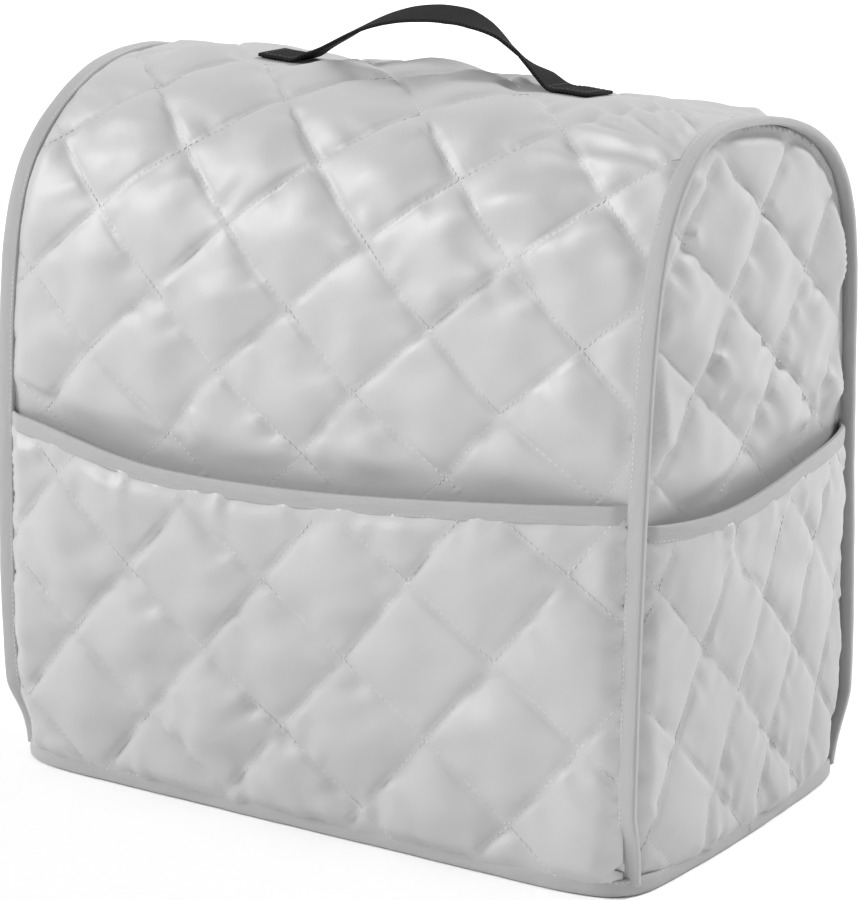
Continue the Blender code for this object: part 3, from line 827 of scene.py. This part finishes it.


# %% [markdown]
# ## Folds beyond the quilting
#
# The crown is eased into the tight curve of the right seam, which leaves narrow tucks there, and
# the whole front carries a few long soft folds. Each is one smooth ridge on the flat cloth, set
# from where it shows: its middle, direction, length, width and height.

# %% Ridges on the strip
STRIP_FOLDS = (
    # across, up, direction in degrees, length, width, height, in millimetres
    (146, 366, 156, 74, 3.4, 3.0),
    (150, 375, 148, 66, 3.2, 3.0),
    (148, 357, 166, 72, 3.6, 2.6),
    (152, 386, 140, 64, 3.2, 2.6),
    (144, 346, 176, 76, 4.0, 2.0),
    (154, 399, 132, 56, 3.2, 2.0),
    (118, 326, 200, 120, 9, 2.2),
    (112, 294, 208, 120, 9, 1.8),
    (60, 226, 190, 120, 12, 1.2),
    (-95, 390, 172, 90, 12, 1.2),
)


def ridges(table, across, up):
    total = 0 * across
    for x, s, turn, length, width, height in table:
        c, n = math.cos(math.radians(turn)), math.sin(math.radians(turn))
        run = (across - x * MM) * c + (up - s * MM) * n
        aside = (up - s * MM) * c - (across - x * MM) * n
        total = total + height * MM * np.exp(-(2 * run / (length * MM)) ** 4 - (aside / (width * MM)) ** 2)
    return total


# %% Where the quilting lies flat
STRAP_SEWN = (62 * MM, 98 * MM)
STRAP_Y, STRAP_WIDE, STRAP_THICK = 5 * MM, 25 * MM, 2.0 * MM
STRAP_ROOM = 11 * MM


def crown_line(x):
    """Where along the strip the strap's middle line runs."""
    grid = np.linspace(-SEAM_X, SEAM_X, 61)
    over = ALONG[(ALONG > 0.3 * STRIP_LENGTH) & (ALONG < 0.7 * STRIP_LENGTH)]
    y = section(grid[:, None], np.broadcast_to(over, (len(grid), len(over))))[..., 0]
    return np.interp(x, grid, over[np.argmin(np.abs(y - STRAP_Y), axis=1)])


def strip_body(x, s):
    behind = behind_pocket(FRONT_POCKET_TOP, x, s)
    beside = np.maximum(np.abs(np.abs(x) - sum(STRAP_SEWN) / 2) - (STRAP_SEWN[1] - STRAP_SEWN[0]) / 2, 0)
    sewn = np.hypot(beside, np.maximum(np.abs(s - crown_line(x)) - STRAP_WIDE / 2, 0))
    pressed = 1 - smooth((sewn - STRAP_ROOM / 2) / STRAP_ROOM)
    folds = ridges(STRIP_FOLDS, x, s) * smooth((STRIP_HALF - np.abs(x)) / (4 * MM))
    return (1 - behind) * (1 - pressed), folds * (1 - pressed) - POCKET_SET * behind


def right_body(y, z):
    behind = behind_pocket(END_POCKET_TOP, y, z)
    return 1 - behind, -POCKET_SET * behind


def plain_body(across, up):
    return 1, 0


# %% The five quilted sheets
QUILT, POCKET = 2.4 * MM, 1.8 * MM


def right_end_point(y, z, out):
    return end_point(1, y, z, out)


def left_end_point(y, z, out):
    return end_point(-1, y, z, out)


SHEETS = {
    # cloth: (surface, thickness, body, relief, CAD node, what it rests on)
    "strip": (strip_point, QUILT, strip_body, 1.0, "body_panel",
              ["right_seam_tape", "left_seam_tape", "hem_tape"]),
    "right end": (right_end_point, QUILT, right_body, 1.5, "right_end_panel",
                  ["right_seam_tape", "hem_tape"]),
    "left end": (left_end_point, QUILT, plain_body, 1.5, "left_end_panel", ["left_seam_tape", "hem_tape"]),
    "front pocket": (front_pocket_point, POCKET, plain_body, 1.1, "front_pocket", ["hem_tape"]),
    "end pocket": (end_pocket_point, POCKET, plain_body, 0.85, "end_pocket", ["hem_tape"]),
}
for quilt, (surface, thickness, body, relief, node, _) in SHEETS.items():
    name = quilt.replace(" ", "_") + "_quilting"
    quilting(name, quilt, surface, thickness, body, node, relief)

# %% [markdown]
# ## Bound edges
#
# A tape is folded over the raw edges and topstitched close to its rim, so its section is a soft
# flat tube, pinched a little along the stitches. Sweeping one closed ring along a line makes it;
# a small waviness keeps it from looking extruded.

# %% Sweep a tape
SEAM_TAPE_THICK, HEM_THICK, POCKET_TAPE_THICK = 4.1 * MM, 5.0 * MM, 3.2 * MM
RING = 20                 # points round a tape
SOFTNESS = 0.42           # 1 is an ellipse, and less is squarer
PINCH = 0.35 * MM


def tape_section(width, thickness, stitched_at):
    """Round the tape: across and out, pinched along its stitches."""
    turn = np.linspace(0, 2 * math.pi, RING, endpoint=False)
    across = np.sign(np.cos(turn)) * np.abs(np.cos(turn)) ** SOFTNESS * width / 2
    out = np.sign(np.sin(turn)) * np.abs(np.sin(turn)) ** SOFTNESS * thickness / 2
    pinch = sum(np.exp(-((across - at) / (0.9 * MM)) ** 2) for at in stitched_at)
    return across, out - np.sign(out) * PINCH * pinch


def swept(name, rings, cloth, finish, nodes, closed=False):
    """A tube through rings of points, with the flat cloth's coordinates kept on it."""
    count, around = rings.shape[:2]
    bm = bmesh.new()
    points = new_points(bm, (rings + CENTRE).reshape(-1, 3), cloth=cloth.reshape(-1, 3))
    points = [points[k:k + around] for k in range(0, len(points), around)]
    for i in range(count if closed else count - 1):
        here, there = points[i], points[(i + 1) % count]
        for j in range(around):
            k = (j + 1) % around
            bm.faces.new((here[j], here[k], there[k], there[j]))
    if not closed:
        bm.faces.new(points[0])
        bm.faces.new(points[-1])
    bmesh.ops.recalc_face_normals(bm, faces=bm.faces)
    if bm.calc_volume(signed=True) < 0:
        bmesh.ops.reverse_faces(bm, faces=bm.faces)
    mesh = bpy.data.meshes.new(name)
    bm.to_mesh(mesh)
    bm.free()
    print(name, len(mesh.polygons), "faces")
    return add_piece(name, mesh, finish, nodes)


def waver(along, seed):
    """A tape's unevenness along its length, from -1 to 1."""
    return (np.sin(along / (23 * MM) + seed) + np.sin(along / (9.1 * MM) + 2.1 * seed)
            + 0.5 * np.sin(along / (3.7 * MM) + 3.3 * seed)) / 2.5


def bound_edge(name, node, place, length, width, thickness, stitched_at, seed, count, closed=False):
    """A tape laid by place(t, across, out), t from 0 to 1 along it."""
    across, out = tape_section(width, thickness, stitched_at)
    t = np.linspace(0, 1, count, endpoint=not closed)[:, None]
    ripple = waver(t * length, seed)
    rings = place(t + 0 * across, across * (1 + 0.025 * ripple),
                  out * (1 + 0.06 * ripple) + 0.15 * MM * ripple)
    cloth = np.stack(np.broadcast_arrays(t * length, across + out, 0 * t), axis=-1)
    return swept(name, rings, cloth, tape, [node], closed)


# %% Seam, pocket and hem tapes
SEAM_STITCH = -FLANGE / 2 + 1.5 * MM
POCKET_STITCH = -POCKET_TAPE / 2 + 1.3 * MM
HEM_STITCH = HEM_TAPE / 2 - 1.3 * MM
TAPE_ENDS = 5 * MM        # seam tapes run down into the hem's
SEAM_TAPE_OUT = 0.9 * MM  # over the pockets' sewn edges
THIN_END, THIN_BY = 0.5, 9 * MM     # a pocket's tape is pressed thin where a seam crosses it


def seam_tape_place(side):
    def place(t, across, out):
        s = TAPE_ENDS + t * (STRIP_LENGTH - 2 * TAPE_ENDS)
        return seam_point(side, s, across, out + SEAM_TAPE_OUT)
    return place


def pocket_tape_place(surface, sides):
    def place(t, across, out):
        from_end = np.minimum(t, 1 - t) * (sides[1] - sides[0])
        out = out * (THIN_END + (1 - THIN_END) * smooth(from_end / THIN_BY))
        return surface(sides[0] + t * (sides[1] - sides[0]), POCKET_CUT - POCKET_TAPE / 2 + across, out)
    return place


def hem_line():
    turn = np.linspace(0, 2 * math.pi, 4001)
    power = 2 / HEM_SQUARENESS
    x = HEM_X * np.sign(np.cos(turn)) * np.abs(np.cos(turn)) ** power
    y = HEM_Y * np.sign(np.sin(turn)) * np.abs(np.sin(turn)) ** power
    x *= 1 - HEM_TAPER / HEM_X * (y / HEM_Y) ** 2
    return np.stack([x, y], axis=1)


HEM_STATIONS = 560
hem_route = spaced(hem_line(), HEM_STATIONS + 1)[:-1]
hem_ahead = np.roll(hem_route, -1, axis=0) - np.roll(hem_route, 1, axis=0)
hem_away = np.stack([hem_ahead[:, 1], -hem_ahead[:, 0]], axis=1)
hem_away /= np.linalg.norm(hem_away, axis=1, keepdims=True)
HEM_GIRTH = girth(hem_line())


def hem_place(t, across, out):
    at = t * HEM_STATIONS
    low = np.floor(at + 1e-6).astype(int) % HEM_STATIONS
    part = (at - np.floor(at + 1e-6))[..., None]
    high = (low + 1) % HEM_STATIONS
    line = hem_route[low] * (1 - part) + hem_route[high] * part
    away = hem_away[low] * (1 - part) + hem_away[high] * part
    plan = line + away * out[..., None]
    return np.stack([plan[..., 0], plan[..., 1], HEM_TAPE / 2 + across], axis=-1)


SEAM_LENGTH = STRIP_LENGTH - 2 * TAPE_ENDS
FRONT_WIDTH, END_WIDTH = FRONT_SIDES[1] - FRONT_SIDES[0], END_SIDES[1] - END_SIDES[0]
front_tape_place = pocket_tape_place(front_pocket_point, FRONT_SIDES)
end_tape_place = pocket_tape_place(end_pocket_point, END_SIDES)
for side, name, seed in ((1, "right", 0.4), (-1, "left", 1.9)):
    bound_edge(name + "_seam_tape", name + "_seam_binding", seam_tape_place(side), SEAM_LENGTH,
               FLANGE, SEAM_TAPE_THICK, (SEAM_STITCH,), seed, 420)
bound_edge("hem_tape", "hem_binding", hem_place, HEM_GIRTH, HEM_TAPE, HEM_THICK, (HEM_STITCH,), 3.1,
           HEM_STATIONS, closed=True)
bound_edge("front_pocket_tape", "front_pocket_binding", front_tape_place, FRONT_WIDTH, POCKET_TAPE,
           POCKET_TAPE_THICK, (POCKET_STITCH,), 0.9, 220)
bound_edge("end_pocket_tape", "end_pocket_binding", end_tape_place, END_WIDTH, POCKET_TAPE,
           POCKET_TAPE_THICK, (POCKET_STITCH,), 4.2, 130)

# %% [markdown]
# ## The carrying strap
#
# A length of black webbing is sewn down flat at both ends and stands up in an uneven arch between
# them, twisted by its own stiffness. Its line is a spline through measured places, and its roll
# says how far its top leans to the front at each of them.

# %% The strap
STRAP_ARCH = (
    # x, z in millimetres, roll in degrees, positive where its top looks to the front
    (-70, 361.5, 0),
    (-62, 365.5, 4),
    (-50, 372, 6),
    (-36, 379, 8),
    (-19, 384.6, 10),
    (-2, 387.2, 10),
    (15, 387, 6),
    (28, 383.6, -6),
    (41, 377.2, -24),
    (52, 370, -28),
    (63, 364, -12),
)
STRAP_ENDS = (-97, -91, -84, -77, 72, 79, 87, 95)
STRAP_SEAT = 0.5 * MM
STRAP_STATIONS = 260


def strap_route():
    """The strap's middle line, with its width and face directions."""
    lift = QUILT / 2 + STRAP_THICK / 2 + STRAP_SEAT
    route, rolls = [], []
    for x in STRAP_ENDS:
        at = np.array([x * MM])
        back, front = (strip_point(at, crown_line(at) + step, lift)[0] for step in (10 * MM, -10 * MM))
        route.append((back + front) / 2)
        rolls.append((x * MM, math.atan2(back[2] - front[2], back[1] - front[1])))
    for x, z, roll in STRAP_ARCH:
        route.append(np.array([x * MM, STRAP_Y, z * MM]))
        rolls.append((x * MM, math.radians(roll)))
    line = evenly(sorted(route, key=lambda point: point[0]), STRAP_STATIONS)
    roll = np.interp(line[:, 0], *np.array(sorted(rolls)).T)
    ahead = np.gradient(line, axis=0)
    ahead /= np.linalg.norm(ahead, axis=1, keepdims=True)
    upright = np.cross(ahead, (0, 1, 0))
    wide = np.cos(roll)[:, None] * np.array([0, 1, 0]) + np.sin(roll)[:, None] * upright
    return line, ahead, wide, np.cross(wide, ahead) * -1


strap_line, strap_ahead, strap_wide, strap_face = strap_route()
across, out = tape_section(STRAP_WIDE, STRAP_THICK, ())
across = np.sign(across) * (np.abs(across) / STRAP_WIDE * 2) ** 0.5 * STRAP_WIDE / 2
rings = strap_line[:, None] + strap_wide[:, None] * across[:, None] + strap_face[:, None] * out[:, None]
STRAP_LENGTH = girth(strap_line)
run = np.linspace(0, STRAP_LENGTH, STRAP_STATIONS)
strap_cloth = np.stack(np.broadcast_arrays(run[:, None], across + 0 * out, 0 * run[:, None]), axis=-1)
strap_piece = swept("strap", rings, strap_cloth, webbing, ["handle_strap"])
print("the strap is", round(STRAP_LENGTH / MM), "mm long")

# %% [markdown]
# ## Thread
#
# Every stitch is a short strand that dives into the cloth at both ends. Thousands of separate
# objects would be slow, so each row of stitching is one mesh, and each strand in it is the same
# small spindle, turned and stretched to its place.

# %% Sew rows of stitches
STRAND_SIDES = 5
THREAD = 0.22 * MM        # radius of the thread


def strand():
    """A spindle along x from -0.5 to 0.5, with unit radius, and its faces."""
    bm = bmesh.new()
    rings = []
    for x, radius in ((-0.36, 0.85), (0.0, 1.0), (0.36, 0.85)):
        made = bmesh.ops.create_circle(bm, segments=STRAND_SIDES, radius=radius)["verts"]
        for v in made:
            v.co = (x, v.co.x, v.co.y)
        rings.append(made)
    tips = [bm.verts.new((x, 0, -0.6)) for x in (-0.5, 0.5)]
    for low, high in zip(rings, rings[1:]):
        for j in range(STRAND_SIDES):
            k = (j + 1) % STRAND_SIDES
            bm.faces.new((low[j], low[k], high[k], high[j]))
    for tip, ring in zip(tips, (rings[0], rings[-1])):
        for j in range(STRAND_SIDES):
            bm.faces.new((tip, ring[j], ring[(j + 1) % STRAND_SIDES]))
    bmesh.ops.recalc_face_normals(bm, faces=bm.faces)
    bm.verts.index_update()
    points = np.array([v.co[:] for v in bm.verts])
    faces = [[v.index for v in face.verts] for face in bm.faces]
    bm.free()
    return points, faces


STRAND_POINTS, STRAND_FACES = strand()


def sew(name, starts, ends, up, finish, slot_name, radius=THREAD):
    """One mesh of strands from starts to ends, with their tops towards up."""
    run = ends - starts
    side = np.cross(up, run)
    side /= np.linalg.norm(side, axis=1, keepdims=True)
    top = np.cross(run, side)
    top /= np.linalg.norm(top, axis=1, keepdims=True)
    middle = (starts + ends) / 2
    x, y, z = (STRAND_POINTS[None, :, k, None] for k in range(3))
    points = middle[:, None] + run[:, None] * x + (side[:, None] * y + top[:, None] * z) * radius + CENTRE
    each = len(STRAND_POINTS)
    faces = [[k * each + v for v in face] for k in range(len(starts)) for face in STRAND_FACES]
    mesh = bpy.data.meshes.new(name)
    mesh.from_pydata(points.reshape(-1, 3).tolist(), [], faces)
    print(name, len(starts), "stitches")
    return add_piece(name, mesh, finish, [])


def quilted_stitches(name, quilt, surface, thickness, body):
    """Stitches along both families of a sheet's lines, inside its seams."""
    outline = OUTLINES[quilt]
    p, q = to_lines(quilt, outline[:, 0], outline[:, 1])
    spans = []
    for lines, runs, swap in ((p, q, False), (q, p, True)):
        line = np.arange(math.floor(lines.min()), math.ceil(lines.max()) + 1)
        run = np.arange(math.floor(runs.min()) * STITCHES, math.ceil(runs.max()) * STITCHES)
        line, run = (grid.ravel() for grid in np.meshgrid(line, run))
        for_each = [(run + share) / STITCHES for share in (0.14, 0.86)]
        spans.append([to_flat(quilt, at, line) if swap else to_flat(quilt, line, at) for at in for_each])
    starts, ends = (np.concatenate([np.stack(span[k], axis=1) for span in spans]) for k in (0, 1))
    share, _ = body(*starts.T)
    inside = (from_edge(outline, *starts.T) > SEAM_HOLD) & (from_edge(outline, *ends.T) > SEAM_HOLD)
    inside &= np.broadcast_to(np.asarray(share), len(starts)) > 0.02
    starts, ends = starts[inside], ends[inside]
    lift = thickness / 2 + 0.4 * THREAD
    places = [surface(*flat.T, lift + body(*flat.T)[1]) for flat in (starts, ends)]
    above = surface(*starts.T, lift + MM + body(*starts.T)[1])
    return sew(name, *places, above - places[0], thread, "quilted_satin")


for quilt, (surface, thickness, body, *_) in SHEETS.items():
    quilted_stitches(quilt.replace(" ", "_") + "_stitches", quilt, surface, thickness, body)

# %% Topstitching along the tapes
TAPE_PITCH = 2.7 * MM


def topstitch(name, place, length, at, out):
    """A row of stitches along a tape, at this place across it."""
    count = round(length / TAPE_PITCH)
    t = (np.arange(count) + 0.5) / count
    half = 0.36 / count
    starts, ends = (place(t + step, np.full(count, at), np.full(count, out)) for step in (-half, half))
    above = place(t, np.full(count, at), np.full(count, out + MM))
    return sew(name, starts, ends, above - (starts + ends) / 2, thread, "binding_tape")


SEAM_TOP, HEM_TOP, POCKET_TOP = 1.55 * MM, 1.95 * MM, 0.95 * MM     # how far out the stitches lie
for side, name in ((1, "right"), (-1, "left")):
    topstitch(name + "_seam_stitches", seam_tape_place(side), SEAM_LENGTH, SEAM_STITCH, SEAM_TOP)
topstitch("hem_stitches", hem_place, HEM_GIRTH, HEM_STITCH, HEM_TOP)
topstitch("front_tape_stitches", front_tape_place, FRONT_WIDTH, POCKET_STITCH, POCKET_TOP)
topstitch("end_tape_stitches", end_tape_place, END_WIDTH, POCKET_STITCH, POCKET_TOP)

# %% The strap's stitched squares
BOX_IN = 2.5 * MM         # from the strap's edges to its stitching
BOX_LONG = 24 * MM        # from the strap's end to the square's far side


def strap_stitches():
    """A square of stitches on each sewn end of the strap."""
    length = np.linspace(0, STRAP_LENGTH, STRAP_STATIONS)
    wide = STRAP_WIDE / 2 - BOX_IN
    starts, ends = [], []
    for low, high in ((BOX_IN, BOX_LONG), (STRAP_LENGTH - BOX_LONG, STRAP_LENGTH - BOX_IN)):
        corners = [(low, -wide), (high, -wide), (high, wide), (low, wide), (low, -wide)]
        for a, b in zip(np.array(corners[:-1]), np.array(corners[1:])):
            count = round(np.linalg.norm(b - a) / TAPE_PITCH)
            for k in range(count):
                starts.append(a + (b - a) * (k + 0.14) / count)
                ends.append(a + (b - a) * (k + 0.86) / count)

    def place(flat, out):
        at = [np.stack([np.interp(flat[:, 0], length, column) for column in table.T], axis=1)
              for table in (strap_line, strap_wide, strap_face)]
        return at[0] + at[1] * flat[:, 1:] + at[2] * out
    starts, ends = np.array(starts), np.array(ends)
    out = STRAP_THICK / 2
    above = place(starts, out + MM) - place(starts, out)
    return sew("strap_stitches", place(starts, out), place(ends, out), above, black_thread, "strap_webbing")


strap_stitches()

# %% [markdown]
# ## What each cloth was cut from
#
# Cloth hardly stretches, so each sheet's flat area is the one printed where its outline was drawn.
# The loop here only looks each outline up again.


for quilt, (*_, rests_on) in SHEETS.items():
    outline = OUTLINES[quilt]

# %% [markdown]
# ## Light, floor and camera
#
# The cover was shot on white in soft light that comes mostly from the upper left and the front. A
# wide, far lamp there draws the soft highlights on the satin. A second one stands behind the right
# end and grazes it, which shades its creases. The camera stands where the photograph's
# perspective puts it.

# %% The studio
def soft_sun(name, azimuth, elevation, spread, strength):
    """Wide, far light, from an azimuth to the right of the front and a height above the floor."""
    light = bpy.data.lights.new(name, "SUN")
    light.angle = math.radians(spread)
    light.energy = strength
    lamp = bpy.data.objects.new(name, light)
    a, e = math.radians(azimuth), math.radians(elevation)
    towards = Vector((math.sin(a) * math.cos(e), -math.cos(a) * math.cos(e), math.sin(e)))
    lamp.rotation_euler = towards.to_track_quat("Z", "Y").to_euler()
    bpy.context.scene.collection.objects.link(lamp)


soft_sun("key_light", azimuth=-52, elevation=33, spread=26, strength=2.9)
soft_sun("end_light", azimuth=150, elevation=38, spread=16, strength=3.0)

AMBIENT = 0.52
world = bpy.data.worlds.new("studio")
world.use_nodes = True
background = world.node_tree.nodes["Background"]
background.inputs["Color"].default_value = (1, 1, 1, 1)
background.inputs["Strength"].default_value = AMBIENT
seen = world.node_tree.nodes.new("ShaderNodeBackground")
seen.inputs["Color"].default_value = (1, 1, 1, 1)
to_camera = world.node_tree.nodes.new("ShaderNodeLightPath")
either = world.node_tree.nodes.new("ShaderNodeMixShader")
for output, socket in ((to_camera.outputs["Is Camera Ray"], either.inputs[0]),
                       (background.outputs[0], either.inputs[1]),
                       (seen.outputs[0], either.inputs[2]),
                       (either.outputs[0], world.node_tree.nodes["World Output"].inputs["Surface"])):
    world.node_tree.links.new(output, socket)
bpy.context.scene.world = world
bpy.context.scene.view_settings.view_transform = "Standard"

bm = bmesh.new()
bmesh.ops.create_grid(bm, x_segments=1, y_segments=1, size=12)
floor_mesh = bpy.data.meshes.new("floor")
bm.to_mesh(floor_mesh)
bm.free()
floor = bpy.data.objects.new("floor", floor_mesh)
floor.location.z = -0.0005
bpy.context.scene.collection.objects.link(floor)
floor_mesh.materials.append(Finish("paper", Base_Color=(0.97, 0.97, 0.97, 1), Roughness=0.9).material)

# %% The camera
AZIMUTH, ELEVATION = math.radians(33.116), math.radians(15.787)
DISTANCE = 1.9515
TARGET = Vector((-0.0015, 0.0026, 0.1667))
back = Vector((math.sin(AZIMUTH) * math.cos(ELEVATION), -math.cos(AZIMUTH) * math.cos(ELEVATION),
               math.sin(ELEVATION)))
lens = bpy.data.cameras.new("camera")
lens.lens = 155.04
lens.sensor_width = 36
camera = bpy.data.objects.new("camera", lens)
camera.location = TARGET + back * DISTANCE
camera.rotation_euler = back.to_track_quat("Z", "Y").to_euler()
bpy.context.scene.collection.objects.link(camera)
bpy.context.scene.camera = camera
